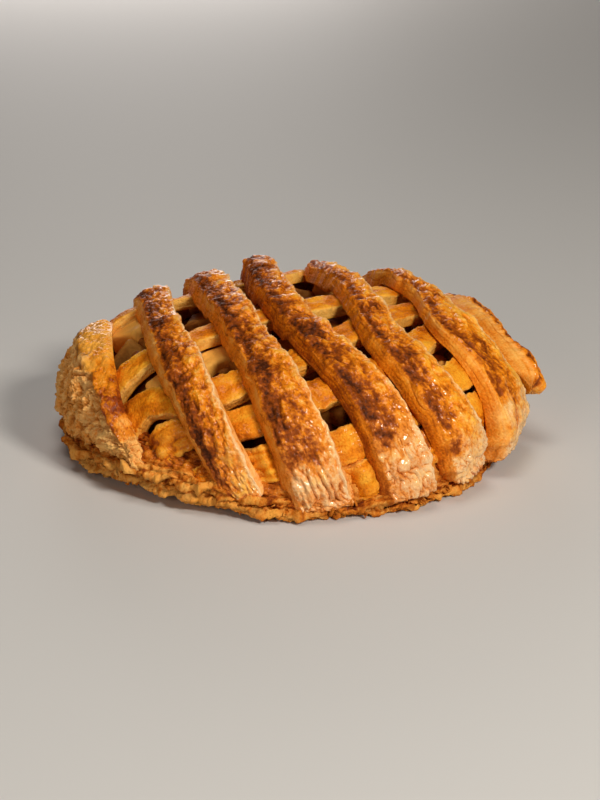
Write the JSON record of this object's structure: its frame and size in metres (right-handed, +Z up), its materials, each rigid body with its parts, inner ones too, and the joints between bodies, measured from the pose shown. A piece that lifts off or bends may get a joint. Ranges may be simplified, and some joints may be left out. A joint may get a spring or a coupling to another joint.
{
  "type": "apple pie",
  "caption": "Round domed apple pie of golden puff pastry: a flat flaky base crust, a diced apple filling, and crossing layers of glazed lattice strips that come down to the rim.",
  "frame": {"origin": "centre of the box's underside, on the flat bottom of the base crust", "axes": "+Z up, -Y towards the front that the picture shows, +X to the right"},
  "size_m": [0.15, 0.1502, 0.0488],
  "materials": {
    "base_pastry": "flaky baked pastry, dull",
    "apple_filling": "moist cooked apple",
    "lower_pastry": "golden baked pastry, satin",
    "upper_pastry": "egg-washed browned pastry, satin"
  },
  "bodies": {
    "root": {"base_crust": "base_pastry", "apple_filling": "apple_filling", "lower_strip_1": "lower_pastry", "lower_strip_2": "lower_pastry", "lower_strip_3": "lower_pastry", "lower_strip_4": "lower_pastry", "lower_strip_5": "lower_pastry", "lower_strip_6": "lower_pastry", "lower_strip_7": "lower_pastry", "upper_strip_1": "upper_pastry", "upper_strip_2": "upper_pastry", "upper_strip_3": "upper_pastry", "upper_strip_4": "upper_pastry", "upper_strip_5": "upper_pastry", "upper_strip_6": "upper_pastry", "upper_strip_7": "upper_pastry"}
  },
  "joints": []
}
